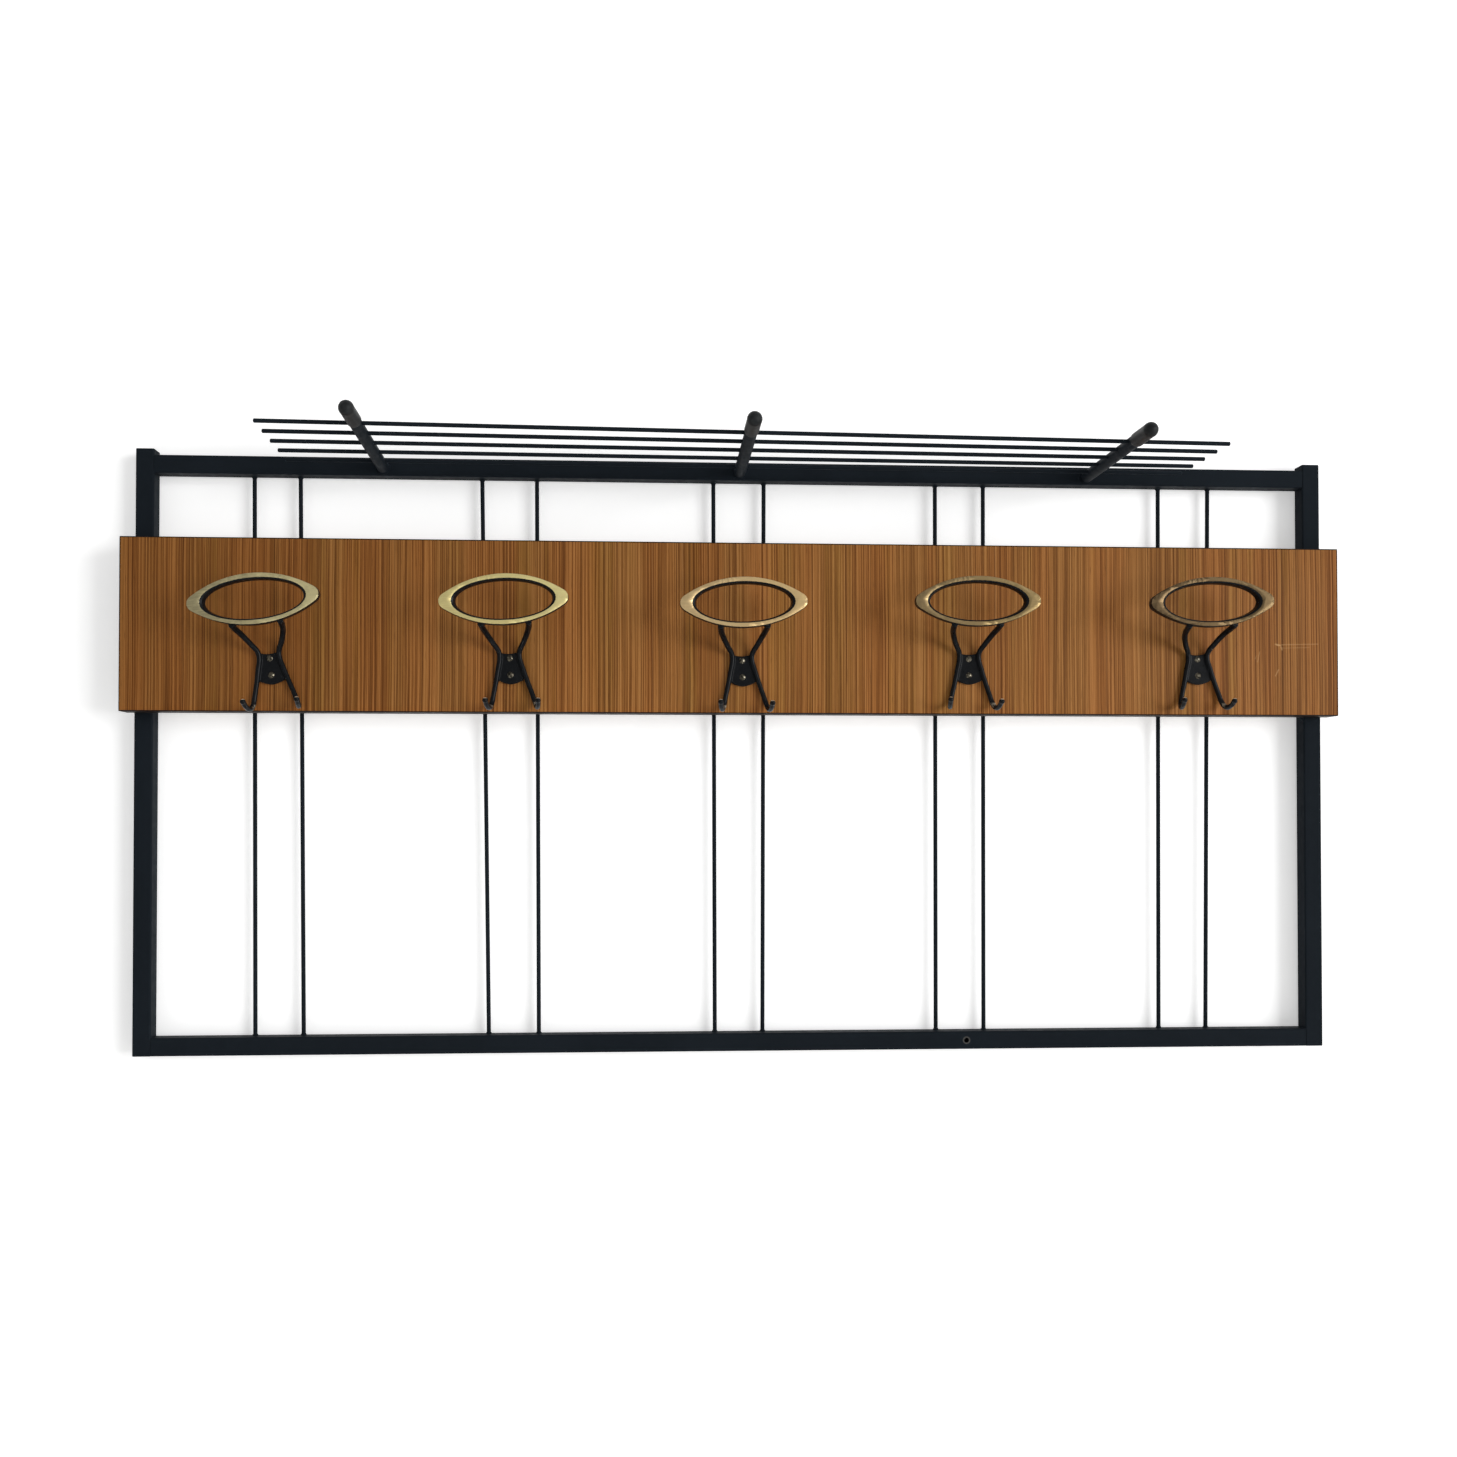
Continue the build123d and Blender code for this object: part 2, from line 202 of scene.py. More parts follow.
class RackHooks(bpy.types.PropertyGroup):
    paint: tint("Hook paint", "Black paint on the castings", (0.004, 0.0048, 0.0058))
    # Also the colour of the painted highlights on the prong tips and bends.
    metal: tint(
        "Bare metal", "Metal where the paint has worn away at the prong tips", (0.92, 0.80, 0.62)
    )
    bar: length("Bar radius", "Half thickness of arms and prongs", 0.0026)
    ring_width: length("Ring width", "Half the width of the oval's two arcs", 0.0668)
    ring_height: length("Ring height", "Half the height of the oval", 0.0245)
    ring_face: length("Ring stand-off", "From the board to the face of the ring", 0.0460)
    ring_depth: length("Ring depth", "Thickness of the ring from face to back", 0.0080)
    detail: length("Casting detail", "Size of the faces of the casting's skin", 0.00045)


class RackStage(bpy.types.PropertyGroup):
    wall_gap: length("Wall gap", "Space between the frame's back and the wall", 0.005)
    key_power: FloatProperty(
        name="Key light", description="Power of the large soft light", default=745.0, min=0.0,
        unit="POWER",
    )
    fill: FloatProperty(
        name="Room light", description="Brightness of the room all round", default=0.50, min=0.0
    )
    seed: IntProperty(name="Seed", description="Seed of the small irregularities", default=7, min=0)


GROUPS = (
    ("rack_paint", RackPaint),
    ("rack_board", RackBoard),
    ("rack_hooks", RackHooks),
    ("rack_stage", RackStage),
)


# --- wiring materials ---

class Wiring:
    """A node tree being built, with short ways to add and join nodes."""

    def __init__(self, name):
        self.material = bpy.data.materials.new(name)
        self.material.use_nodes = True
        self.tree = self.material.node_tree
        self.shader = self.tree.nodes["Principled BSDF"]
        self.where = self.tree.nodes.new("ShaderNodeTexCoord").outputs["Object"]

    def feed(self, value, socket):
        """Link a socket, or set a plain value."""
        if isinstance(value, bpy.types.NodeSocket):
            self.tree.links.new(value, socket)
        elif hasattr(value, "__len__") and len(value) == 3 and socket.type == "RGBA":
            socket.default_value = (*value, 1.0)
        else:
            socket.default_value = value

    def scaled(self, scale, shift=(0.0, 0.0, 0.0)):
        """Place on the piece, with so many repeats to the metre each way."""
        n = self.tree.nodes.new("ShaderNodeMapping")
        self.feed(self.where, n.inputs["Vector"])
        n.inputs["Scale"].default_value = scale
        n.inputs["Location"].default_value = shift
        return n.outputs["Vector"]

    def noise(self, vector, scale=1.0, detail=3.0, rough=0.5, distort=0.0):
        """Soft cloudy value around one half."""
        n = self.tree.nodes.new("ShaderNodeTexNoise")
        self.feed(vector, n.inputs["Vector"])
        n.inputs["Scale"].default_value = scale
        n.inputs["Detail"].default_value = detail
        n.inputs["Roughness"].default_value = rough
        n.inputs["Distortion"].default_value = distort
        return n.outputs["Fac"]

    def speckle(self, vector, scale):
        """Distance to the nearest of scattered grains."""
        n = self.tree.nodes.new("ShaderNodeTexVoronoi")
        self.feed(vector, n.inputs["Vector"])
        n.inputs["Scale"].default_value = scale
        return n.outputs["Distance"]

    def stops(self, value, *points):
        """Colour or grey by value: (place, colour) pairs."""
        n = self.tree.nodes.new("ShaderNodeValToRGB")
        self.feed(value, n.inputs["Fac"])
        ramp = n.color_ramp
        while len(ramp.elements) < len(points):
            ramp.elements.new(1.0)
        for element, (place, shade) in zip(ramp.elements, points):
            element.position = place
            shade = shade if hasattr(shade, "__len__") else (shade,) * 3
            element.color = (*shade, 1.0)
        return n.outputs["Color"]

    def between(self, value, low, high, out_low=0.0, out_high=1.0, smooth=True):
        """Ramp from one value to another as the input goes from low to high."""
        n = self.tree.nodes.new("ShaderNodeMapRange")
        n.interpolation_type = "SMOOTHSTEP" if smooth else "LINEAR"
        self.feed(value, n.inputs["Value"])
        ends = {"From Min": low, "From Max": high, "To Min": out_low, "To Max": out_high}
        for name, v in ends.items():
            n.inputs[name].default_value = v
        return n.outputs["Result"]

    def sum(self, kind, a, b=0.0):
        """One step of arithmetic."""
        n = self.tree.nodes.new("ShaderNodeMath")
        n.operation = kind
        self.feed(a, n.inputs[0])
        self.feed(b, n.inputs[1])
        return n.outputs["Value"]

    def plus(self, a, b):
        return self.sum("ADD", a, b)

    def minus(self, a, b):
        return self.sum("SUBTRACT", a, b)

    def times(self, a, b):
        return self.sum("MULTIPLY", a, b)

    def most(self, a, b):
        return self.sum("MAXIMUM", a, b)

    def mix(self, share, a, b, kind="MIX"):
        """Blend two colours."""
        n = self.tree.nodes.new("ShaderNodeMix")
        n.data_type = "RGBA"
        n.blend_type = kind
        self.feed(share, n.inputs[0])
        self.feed(a, n.inputs[6])
        self.feed(b, n.inputs[7])
        return n.outputs[2]

    def axes(self):
        """Place on the piece, as three numbers."""
        n = self.tree.nodes.new("ShaderNodeSeparateXYZ")
        self.feed(self.where, n.inputs["Vector"])
        return n.outputs["X"], n.outputs["Y"], n.outputs["Z"]

    def facing(self):
        """Which way the surface faces."""
        geometry = self.tree.nodes.new("ShaderNodeNewGeometry")
        n = self.tree.nodes.new("ShaderNodeSeparateXYZ")
        self.feed(geometry.outputs["Normal"], n.inputs["Vector"])
        return n.outputs["X"], n.outputs["Y"], n.outputs["Z"]

    def edge_mask(self, radius):
        """One on an arris, nought on the flats."""
        bevel = self.tree.nodes.new("ShaderNodeBevel")
        bevel.samples = 4
        bevel.inputs["Radius"].default_value = radius
        geometry = self.tree.nodes.new("ShaderNodeNewGeometry")
        n = self.tree.nodes.new("ShaderNodeVectorMath")
        n.operation = "DOT_PRODUCT"
        self.feed(bevel.outputs["Normal"], n.inputs[0])
        self.feed(geometry.outputs["Normal"], n.inputs[1])
        return self.between(n.outputs["Value"], 0.985, 0.80, 0.0, 1.0)

    def bump(self, height, distance, strength=1.0, onto=None):
        """Relief from a height."""
        n = self.tree.nodes.new("ShaderNodeBump")
        n.inputs["Distance"].default_value = distance
        n.inputs["Strength"].default_value = strength
        self.feed(height, n.inputs["Height"])
        if onto is not None:
            self.feed(onto, n.inputs["Normal"])
        return n.outputs["Normal"]

    def finish(self, **sockets):
        """Join the shader's inputs and hand over the material."""
        for name, value in sockets.items():
            self.feed(value, self.shader.inputs[name.replace("_", " ")])
        return self.material


def coat(obj, material):
    """Give a piece one finish."""
    obj.data.materials.clear()
    obj.data.materials.append(material)


def enamel(name, paint, worn_rim=None):
    """Brushed-on black enamel with ripple, faint dust, and lighter arrises that are partly worn
    enamel and partly a painted highlight on the rounded edges.
    """
    w = Wiring(name)
    cloudy = w.noise(w.scaled((7, 7, 7)), 1.0, 4.0, 0.6)
    ripple = w.noise(w.scaled((420, 420, 420)), 1.0, 2.0, 0.5)
    brushed = w.noise(w.scaled((130, 130, 130)), 1.0, 3.0, 0.55, 0.4)
    grit = w.noise(w.scaled((1800, 1800, 1800)), 1.0, 2.0, 0.6)
    # Lighter arrises: partly worn enamel, partly a painted highlight standing in for reflections on
    # the rounded edges.
    arris = w.edge_mask(0.0011)
    broken = w.between(w.noise(w.scaled((55, 55, 55)), 1.0, 5.0, 0.7), 0.50, 0.66)
    rubbed_and_highlight = w.times(w.times(arris, broken), 0.75)
    dust = w.between(cloudy, 0.42, 0.70, 0.0, 0.30)
    colour = w.mix(dust, paint.black, (0.0150, 0.0200, 0.0262))
    colour = w.mix(rubbed_and_highlight, colour, paint.rubbed_and_highlight)
    if worn_rim:
        x, _, z = w.axes()
        across = w.minus(x, worn_rim[0])
        along = w.minus(z, worn_rim[1] - HANG_HEIGHT)
        far = w.sum("SQRT", w.plus(w.times(across, across), w.times(along, along)))
        rim = w.between(far, worn_rim[2] + 0.0017, worn_rim[2] + 0.0007, 0.0, 0.9)
        colour = w.mix(rim, colour, (0.075, 0.072, 0.068))
    rough = w.between(brushed, 0.25, 0.75, paint.gloss - 0.07, paint.gloss + 0.10, False)
    rough = w.plus(rough, w.times(rubbed_and_highlight, 0.25))
    skin = w.plus(ripple, w.times(brushed, 1.6))
    skin = w.plus(skin, w.times(grit, 0.25))
    normal = w.bump(skin, 0.00012, paint.peel * 2.5)
    w.shader.inputs["IOR"].default_value = ENAMEL_IOR
    return w.finish(Base_Color=colour, Roughness=rough, Normal=normal)


def teak_laminate(board):
    """Printed teak: long upright streaks, fine dark pores, a few scuffs."""
    w = Wiring("teak_laminate")
    x, _, z = w.axes()
    sway = w.noise(w.scaled((2.0, 1.0, 5.5)), 1.0, 2.0, 0.5)
    lean = w.times(w.minus(sway, 0.5), 0.004)
    bent = w.tree.nodes.new("ShaderNodeCombineXYZ")
    w.feed(w.plus(x, lean), bent.inputs["X"])
    w.feed(z, bent.inputs["Z"])

    def along(sx, sz, shift=0.0):
        m = w.tree.nodes.new("ShaderNodeMapping")
        w.feed(bent.outputs["Vector"], m.inputs["Vector"])
        m.inputs["Scale"].default_value = (sx, 1.0, sz)
        m.inputs["Location"].default_value = (shift, shift * 0.37, shift * 1.7)
        return m.outputs["Vector"]

    broad = w.noise(along(24.0, 0.5), 1.0, 2.0, 0.5)
    bands = w.noise(along(170.0, 0.8, 3.1), 1.0, 2.0, 0.6)
    streaks = w.noise(along(620.0, 1.4, 7.7), 1.0, 2.0, 0.6)
    hairs = w.noise(along(1250.0, 6.0, 11.3), 1.0, 2.0, 0.6)
    pores = w.noise(along(1500.0, 55.0, 5.9), 1.0, 2.0, 0.55)

    body = w.plus(w.times(broad, 0.14), w.times(bands, 0.14))
    body = w.plus(body, w.times(streaks, 0.82))
    body = w.plus(body, w.times(hairs, 0.56))
    body = w.minus(body, 0.31)
    dusky = tuple(0.45 * a + 0.55 * b for a, b in zip(board.dark, board.middle))
    grain = w.stops(
        body, (0.34, board.dark), (0.46, dusky), (0.525, board.middle), (0.65, board.light)
    )
    warm = w.between(w.noise(along(26.0, 1.1, 19.0), 1.0, 2.0, 0.5), 0.40, 0.62, 0.0, 0.55)
    grain = w.mix(warm, grain, w.mix(1.0, grain, (1.05, 0.88, 0.80), "MULTIPLY"))
    green = w.between(w.noise(along(60.0, 1.6, 31.0), 1.0, 2.0, 0.5), 0.52, 0.70, 0.0, 0.45)
    grain = w.mix(green, grain, w.mix(1.0, grain, (0.92, 1.04, 0.80), "MULTIPLY"))
    line = w.between(w.noise(along(620.0, 0.35, 43.0), 1.0, 1.0, 0.4), 0.68, 0.76, 0.0, 0.45)
    grain = w.mix(line, grain, (0.42, 0.23, 0.095))
    dark_line = w.between(w.noise(along(560.0, 0.5, 57.0), 1.0, 1.0, 0.4), 0.37, 0.28, 0.0, 0.70)
    grain = w.mix(dark_line, grain, tuple(c * 0.55 for c in board.dark))
    pits = w.between(pores, 0.36, 0.27, 0.0, 0.42)
    grain = w.mix(pits, grain, tuple(c * 0.6 for c in board.dark))

    wobble = w.noise(w.scaled((260, 260, 260)), 1.0, 2.0, 0.6)

    def scuff(x0, up0, x1, up1, half, strength):
        """Pale scratch from one end to the other."""
        z0, z1 = up0 - HANG_HEIGHT, up1 - HANG_HEIGHT
        run = Vector((x1 - x0, z1 - z0))
        size = run.length
        ux, uz = run.x / size, run.y / size
        dx = w.minus(x, x0)
        dz = w.minus(z, z0)
        forth = w.plus(w.times(dx, ux), w.times(dz, uz))
        aside = w.sum("ABSOLUTE", w.minus(w.times(dx, uz), w.times(dz, ux)))
        aside = w.plus(aside, w.times(w.minus(wobble, 0.5), half * 1.4))
        thin = w.between(aside, half, half * 0.35)
        start = w.between(forth, -half, half)
        stop = w.between(forth, size + half, size - half)
        return w.times(w.times(thin, w.times(start, stop)), strength)

    marks = scuff(*SCUFFS[0])
    for mark in SCUFFS[1:]:
        marks = w.most(marks, scuff(*mark))
    grain = w.mix(marks, grain, (0.62, 0.38, 0.17))

    # Painted shade: the laminate darkens towards both ends, most at the left, standing in for light
    # falling off across the board.
    left_end_shade = w.between(x, -0.20, -0.60, 0.0, 0.85)
    right_end_shade = w.between(x, 0.30, 0.62, 0.0, 0.55)
    ends = w.most(left_end_shade, right_end_shade)
    grain = w.mix(ends, grain, w.mix(1.0, grain, (0.80, 0.75, 0.66), "MULTIPLY"))
    low = w.between(z, BOARD_FOOT[0] - HANG_HEIGHT, BOARD_FOOT[1] - HANG_HEIGHT, 0.0, 0.35)
    grain = w.mix(low, grain, w.mix(1.0, grain, (1.05, 0.92, 0.80), "MULTIPLY"))
    rough = w.between(streaks, 0.3, 0.7, board.sheen + 0.05, board.sheen - 0.05, False)
    worn = w.noise(w.scaled((14, 14, 14)), 1.0, 4.0, 0.6)
    rough = w.plus(rough, w.times(worn, 0.10))
    relief = w.minus(w.times(hairs, 0.5), pits)
    normal = w.bump(relief, 0.00006, 0.7)
    w.shader.inputs["IOR"].default_value = LAMINATE_IOR
    return w.finish(Base_Color=grain, Roughness=rough, Normal=normal)


def edging_strip(board):
    """Dark edging strip, a little rubbed along its arrises."""
    w = Wiring("dark_edging")
    blotch = w.noise(w.scaled((30, 30, 90)), 1.0, 4.0, 0.6)
    fine = w.noise(w.scaled((700, 700, 700)), 1.0, 2.0, 0.5)
    arris = w.edge_mask(0.0007)
    colour = w.mix(w.between(blotch, 0.35, 0.7), board.edging, tuple(c * 1.9 for c in board.edging))
    colour = w.mix(w.times(arris, 0.25), colour, (0.04, 0.022, 0.012))
    rough = w.between(blotch, 0.3, 0.7, 0.42, 0.60, False)
    w.shader.inputs["IOR"].default_value = EDGING_IOR
    return w.finish(Base_Color=colour, Roughness=rough, Normal=w.bump(fine, 0.00005, 0.5))


def backing_sheet():
    """Plain brown sheet on the back of the board."""
    w = Wiring("backing_sheet")
    streak = w.noise(w.scaled((140, 1, 3)), 1.0, 4.0, 0.6)
    fleck = w.noise(w.scaled((900, 900, 900)), 1.0, 2.0, 0.6)
    colour = w.stops(streak, (0.30, (0.105, 0.052, 0.022)), (0.70, (0.215, 0.118, 0.058)))
    colour = w.mix(w.between(fleck, 0.58, 0.72, 0.0, 0.35), colour, (0.28, 0.17, 0.09))
    return w.finish(Base_Color=colour, Roughness=w.between(streak, 0.2, 0.8, 0.55, 0.72, False),
                    Normal=w.bump(fleck, 0.00008, 0.6))


def chipboard():
    """Core of the board: pressed chips."""
    w = Wiring("chipboard")
    chips = w.speckle(w.scaled((420, 420, 420)), 1.0)
    tone = w.noise(w.scaled((160, 160, 160)), 1.0, 3.0, 0.6)
    colour = w.stops(w.plus(w.times(chips, 0.6), w.times(tone, 0.6)),
                     (0.25, (0.30, 0.20, 0.11)), (0.75, (0.55, 0.41, 0.26)))
    return w.finish(Base_Color=colour, Roughness=w.between(tone, 0.2, 0.8, 0.75, 0.9, False),
                    Normal=w.bump(chips, 0.0002, 0.6))


def casting_finish(number, hooks, face_tone, aged_tone, aged):
    """Black-painted casting: ground brass ring face, pale worn prong tips whose upward faces carry
    a painted highlight, and a painted highlight at the prong bends.
    """
    w = Wiring(f"hook_casting_{number}")
    x, y, z = w.axes()
    _, ny, nz = w.facing()
    out = w.times(y, -1.0)
    drift = (3.7 * number, 1.3 * number, 2.1 * number)
    clouds = w.noise(w.scaled((70, 70, 110), drift), 1.0, 4.0, 0.65)
    ground = w.noise(w.scaled((60, 60, 900), drift), 1.0, 3.0, 0.6)
    specks = w.noise(w.scaled((520, 520, 520), drift), 1.0, 3.0, 0.65)
    pitted = w.noise(w.scaled((1500, 1500, 1500), drift), 1.0, 2.0, 0.6)
    lumpy = w.noise(w.scaled((190, 190, 190), drift), 1.0, 3.0, 0.55)

    level = w.plus(out, w.times(w.minus(specks, 0.5), 0.0002))
    face = w.between(level, hooks.ring_face - 0.00030, hooks.ring_face - 0.00012)
    # Prong tips: pale metal on their upward faces only, partly worn paint and partly a painted
    # highlight.
    tip_out = w.between(out, 0.0240, 0.0264)
    low = w.between(z, -0.0262, -0.0290)
    upward = w.between(w.plus(nz, w.times(w.minus(specks, 0.5), 0.5)), 0.56, 0.76)
    tips = w.times(w.times(tip_out, low), upward)
    # Painted highlight: pale metal where the prong bends face forward.
    bend_highlight = w.times(w.between(z, -0.0352, -0.0372), w.between(w.times(ny, -1.0), 0.10, 0.5))
    bend_highlight = w.times(bend_highlight, w.between(out, 0.0130, 0.0100))
    bend_highlight = w.times(bend_highlight, w.between(lumpy, 0.48, 0.60))
    chipped = w.between(w.noise(w.scaled((85, 85, 85), drift), 1.0, 5.0, 0.75), 0.70, 0.73)
    # Pale metal: worn tips and real chips in the paint, with painted highlights on the tips' upward
    # faces and at the bends.
    bare_and_highlight = w.most(tips, w.most(w.times(bend_highlight, 0.3), w.times(chipped, 0.4)))
    bare_and_highlight = w.times(bare_and_highlight, w.minus(1.0, face))

    along = w.between(x, -0.062, 0.062)
    tarnish = w.plus(w.times(clouds, 1.15), w.times(along, -0.52))
    tarnish = w.between(tarnish, 0.06, 0.50, max(0.0, aged - 0.80), aged, False)
    brass = w.mix(tarnish, face_tone, aged_tone)
    bright = tuple(min(1.0, c * 1.25) for c in face_tone)
    brass = w.mix(w.between(ground, 0.35, 0.75, 0.0, 0.28), brass, bright)
    brass = w.mix(w.between(specks, 0.68, 0.76, 0.0, 0.7), brass, (0.10, 0.065, 0.03))
    black = w.mix(w.between(clouds, 0.4, 0.7, 0.0, 0.4), hooks.paint, (0.009, 0.010, 0.0115))
    colour = w.mix(bare_and_highlight, black, hooks.metal)
    colour = w.mix(face, colour, brass)
    shiny = w.most(face, w.times(bare_and_highlight, 0.95))
    painted = w.between(lumpy, 0.3, 0.7, 0.26, 0.38, False)
    polished = w.between(clouds, 0.3, 0.7, 0.30, 0.44, False)
    rough = w.plus(w.times(painted, w.minus(1.0, shiny)), w.times(polished, shiny))
    skin = w.plus(lumpy, w.times(pitted, 0.18))
    skin = w.times(skin, w.minus(1.0, w.times(face, 0.85)))
    normal = w.bump(skin, 0.00010, 0.5, w.bump(ground, 0.00003, 0.5))
    w.shader.inputs["Specular IOR Level"].default_value = PAINT_SPECULAR
    return w.finish(Base_Color=colour, Metallic=shiny, Roughness=rough, Normal=normal)


def screw_brass():
    """Dulled brass of the hook screws."""
    w = Wiring("screw_brass")
    stain = w.noise(w.scaled((420, 420, 420)), 1.0, 4.0, 0.65)
    marks = w.noise(w.scaled((2600, 700, 2600)), 1.0, 3.0, 0.6)
    colour = w.stops(
        stain, (0.40, (0.016, 0.015, 0.014)), (0.54, (0.13, 0.115, 0.085)),
        (0.74, (0.36, 0.33, 0.26)),
    )
    rough = w.between(stain, 0.3, 0.75, 0.48, 0.26, False)
    w.shader.inputs["Metallic"].default_value = 1.0
    return w.finish(Base_Color=colour, Roughness=rough, Normal=w.bump(marks, 0.00005, 0.6))


def zinc():
    """Bright zinc of the board screws."""
    w = Wiring("screw_zinc")
    spangle = w.speckle(w.scaled((900, 900, 900)), 1.0)
    stain = w.noise(w.scaled((300, 300, 300)), 1.0, 3.0, 0.6)
    colour = w.stops(stain, (0.3, (0.42, 0.42, 0.40)), (0.7, (0.66, 0.67, 0.66)))
    w.shader.inputs["Metallic"].default_value = 1.0
    return w.finish(Base_Color=colour, Roughness=w.between(spangle, 0.0, 0.6, 0.28, 0.45, False),
                    Normal=w.bump(spangle, 0.00004, 0.5))


def cap_plastic():
    """Black plastic of the ball-ended caps, slightly scuffed."""
    w = Wiring("cap_plastic")
    worn = w.noise(w.scaled((90, 90, 90)), 1.0, 5.0, 0.7)
    grain = w.noise(w.scaled((1300, 1300, 1300)), 1.0, 3.0, 0.6)
    colour = w.mix(w.between(worn, 0.38, 0.68), (0.0055, 0.0065, 0.0072), (0.013, 0.0145, 0.0155))
    rough = w.between(worn, 0.3, 0.7, 0.46, 0.62, False)
    w.shader.inputs["IOR"].default_value = CAP_IOR
    return w.finish(Base_Color=colour, Roughness=rough, Normal=w.bump(grain, 0.00008, 0.7))


def plain_stage(name, tone, rough, lift=0.0):
    """Plain sheet that is only there from its face, so the rack can be looked at from behind."""
    w = Wiring(name)
    cloud = w.noise(w.scaled((0.8, 0.8, 0.8)), 1.0, 2.0, 0.5)
    colour = w.mix(w.between(cloud, 0.3, 0.7), tone, tuple(c * 0.985 for c in tone))
    w.shader.inputs["Specular IOR Level"].default_value = STAGE_SPECULAR
    w.shader.inputs["Emission Strength"].default_value = lift
    clear = w.tree.nodes.new("ShaderNodeBsdfTransparent")
    side = w.tree.nodes.new("ShaderNodeNewGeometry")
    pick = w.tree.nodes.new("ShaderNodeMixShader")
    w.feed(side.outputs["Backfacing"], pick.inputs[0])
    w.tree.links.new(w.shader.outputs["BSDF"], pick.inputs[1])
    w.tree.links.new(clear.outputs["BSDF"], pick.inputs[2])
    w.tree.links.new(pick.outputs["Shader"], w.tree.nodes["Material Output"].inputs["Surface"])
    return w.finish(Base_Color=colour, Roughness=rough, Emission_Color=(1.0, 1.0, 1.0))


# --- making meshes ---

def link(name, mesh, material):
    """Put a finished mesh in the scene."""
    obj = bpy.data.objects.new(name, mesh)
    bpy.context.scene.collection.objects.link(obj)
    coat(obj, material)
    return obj


def belongs(obj, slot, *nodes):
    """Fix a piece to the rack and hide the nodes it stands for; the slot is not used."""
    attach(obj, "root")
    if nodes:
        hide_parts(*nodes)
    return obj


def smooth_by_angle(mesh, degrees=32):
    """Shade smooth, with sharp edges kept."""
    for polygon in mesh.polygons:
        polygon.use_smooth = True
    mesh.set_sharp_from_angle(angle=math.radians(degrees))


def softened_block(name, low, high, radius, material):
    """Block between two corners with rounded arrises."""
    bm = bmesh.new()
    bmesh.ops.create_cube(bm, size=1.0)
    size = [b - a for a, b in zip(low, high)]
    middle = [(a + b) / 2 for a, b in zip(low, high)]
    bmesh.ops.scale(bm, vec=size, verts=bm.verts)
    bmesh.ops.translate(bm, vec=middle, verts=bm.verts)
    bmesh.ops.bevel(bm, geom=bm.edges[:], offset=radius, segments=3, profile=0.5, affect="EDGES")
    mesh = bpy.data.meshes.new(name)
    bm.to_mesh(mesh)
    bm.free()
    smooth_by_angle(mesh)
    return link(name, mesh, material)


def turned(bm, profile, start, axis, sides=40, ripple=0.0, seed=0):
    """Turned shape: (distance along, radius) pairs about an axis."""
    axis = axis.normalized()
    side = axis.orthogonal().normalized()
    other = axis.cross(side)
    rings = []
    for along, radius in profile:
        row = []
        for k in range(sides if radius > 1e-7 else 1):
            a = 2 * math.pi * k / sides
            out = side * math.cos(a) + other * math.sin(a)
            here = start + axis * along + out * radius
            if ripple:
                here += out * ripple * noise.noise(here * 900 + Vector((seed, seed, seed)))
            row.append(bm.verts.new(here))
        rings.append(row)
    for a, b in zip(rings, rings[1:]):
        for k in range(sides):
            m = (k + 1) % sides
            if len(a) == 1:
                bm.faces.new((a[0], b[k], b[m]))
            elif len(b) == 1:
                bm.faces.new((a[k], a[m], b[0]))
            else:
                bm.faces.new((a[k], a[m], b[m], b[k]))


def to_object(name, bm, material, angle=40):
    """Turn a working mesh into a piece."""
    bmesh.ops.recalc_face_normals(bm, faces=bm.faces)
    mesh = bpy.data.meshes.new(name)
    bm.to_mesh(mesh)
    bm.free()
    smooth_by_angle(mesh, angle)
    return link(name, mesh, material)


# --- the hook casting ---

def side_bar_points(side):
    """Middle line of one side of the casting, ring to prong tip, with the bar's fullness."""
    points = BAR_UPPER + (BAR_LOWER_LEFT if side < 0 else BAR_LOWER_RIGHT)
    return [(Vector((side * x, -d, z)) * MM, full) for x, d, z, full in points]


def bar_mesh(side, radius):
    """Round bar along the middle line, a little fuller at the tip."""
    curve = bpy.data.curves.new("bar_line", "CURVE")
    curve.dimensions = "3D"
    curve.bevel_depth = radius
    curve.bevel_resolution = 5
    curve.resolution_u = 10
    curve.use_fill_caps = True
    points = side_bar_points(side)
    spline = curve.splines.new("BEZIER")
    spline.bezier_points.add(len(points) - 1)
    for place, (here, full) in zip(spline.bezier_points, points):
        place.co = here
        place.radius = full
        place.handle_left_type = "AUTO"
        place.handle_right_type = "AUTO"
    holder = bpy.data.objects.new("bar_line", curve)
    bpy.context.scene.collection.objects.link(holder)
    graph = bpy.context.evaluated_depsgraph_get()
    mesh = bpy.data.meshes.new_from_object(holder.evaluated_get(graph))
    bpy.data.objects.remove(holder)
    bpy.data.curves.remove(curve)
    return mesh, points[-1][0]


def oval_reach(angle, half_w, half_h, tip):
    """Distance from the middle of the ring to its outline."""
    big = (half_w ** 2 + half_h ** 2) / (2 * half_h)
    drop = big - half_h
    s, c = abs(math.sin(angle)), abs(math.cos(angle))
    arc = -drop * s + math.sqrt(drop * drop * s * s + big * big - drop * drop)
    centre = math.sqrt((big - tip) ** 2 - drop ** 2)
    touch = math.atan2(-drop + big * drop / (big - tip), big * centre / (big - tip))
    if math.atan2(s, c) < touch:
        return centre * c + math.sqrt(max(0.0, tip * tip - (centre * s) ** 2))
    return arc


